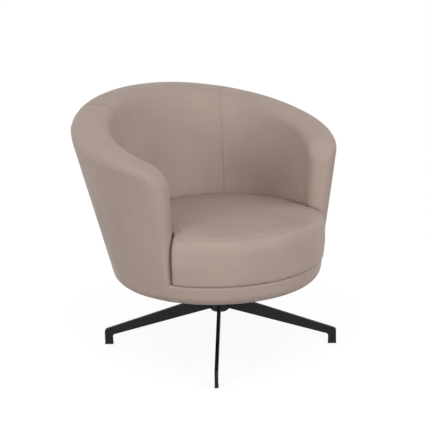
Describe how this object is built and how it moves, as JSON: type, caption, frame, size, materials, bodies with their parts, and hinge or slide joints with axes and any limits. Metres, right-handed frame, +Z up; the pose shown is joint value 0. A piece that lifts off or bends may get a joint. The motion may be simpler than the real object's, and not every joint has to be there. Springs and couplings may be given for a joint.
{
  "type": "swivel armchair",
  "caption": "Leather tub armchair with a wrap-round leaning shell and a T-shaped seat cushion, turning on a black legged swivel base.",
  "frame": {"origin": "on the floor at the swivel axis", "axes": "-Y towards the front of the seat, +X to the sitter's left, +Z up"},
  "size_m": [0.7864, 0.7883, 0.7466],
  "materials": {
    "leather": "smooth taupe upholstery leather with a faint grain and soft sheen",
    "base_steel": "satin black powder coat",
    "nylon": "moulded matte nylon",
    "zinc_steel": "zinc plated steel",
    "frame_steel": "grey primer on welded tube",
    "plywood": "bare birch plywood",
    "webbing": "woven elastic webbing",
    "black_cloth": "black non-woven lining cloth",
    "foam": "open-cell polyurethane foam and fibre wadding"
  },
  "bodies": {
    "base": {"column_tube": "base_steel", "column_cap": "nylon", "lower_bush": "nylon", "upper_bush": "nylon", "lower_race": "zinc_steel", "leg_back_right": "base_steel", "glide_back_right": "nylon", "leg_back_left": "base_steel", "glide_back_left": "nylon", "leg_front_left": "base_steel", "glide_front_left": "nylon", "leg_front_right": "base_steel", "glide_front_right": "nylon"},
    "bearing_cage": {"ball_cage": "nylon", "bearing_balls": "zinc_steel"},
    "seat": {"upper_race": "zinc_steel", "spindle": "zinc_steel", "spindle_clip": "zinc_steel", "spindle_washer": "zinc_steel", "swivel_plate": "zinc_steel", "plate_bolts": "zinc_steel", "plate_washers": "zinc_steel", "tee_nuts": "zinc_steel", "rail_screws": "zinc_steel", "seat_board": "plywood", "cover_outside": "leather", "cover_inside_back": "leather", "cover_inside_left": "leather", "cover_inside_right": "leather", "cover_front_band": "leather", "rim_tube": "frame_steel", "post_screws": "zinc_steel", "rail_back": "plywood", "rail_left": "plywood", "rail_front": "plywood", "rail_right": "plywood", "post_outer_left": "frame_steel", "post_outer_right": "frame_steel", "post_side_left": "frame_steel", "post_side_right": "frame_steel", "post_rear_left": "frame_steel", "post_rear_right": "frame_steel", "post_centre_left": "frame_steel", "post_centre_right": "frame_steel", "straps_front_to_back": "webbing", "straps_side_to_side": "webbing", "deck_cloth": "black_cloth", "dust_cover": "black_cloth", "foam_back": "foam", "foam_side_left": "foam", "foam_side_right": "foam", "foam_arm_left": "foam", "foam_arm_right": "foam", "front_pad": "foam", "cushion_cover": "leather", "cushion_underside": "black_cloth", "cushion_wrap": "foam", "cushion_core": "foam"}
  },
  "joints": [
    {"name": "swivel", "type": "hinge", "parent": "base", "child": "seat", "pos_m": [0, 0, 0.2116], "axis": [0, 0, 1], "continuous": true},
    {"name": "cage_turn", "type": "hinge", "parent": "base", "child": "bearing_cage", "pos_m": [0, 0, 0.2116], "axis": [0, 0, 1], "continuous": true}
  ],
  "couplings": [
    {"joint": "cage_turn", "follows": "swivel", "ratio": 0.5}
  ]
}
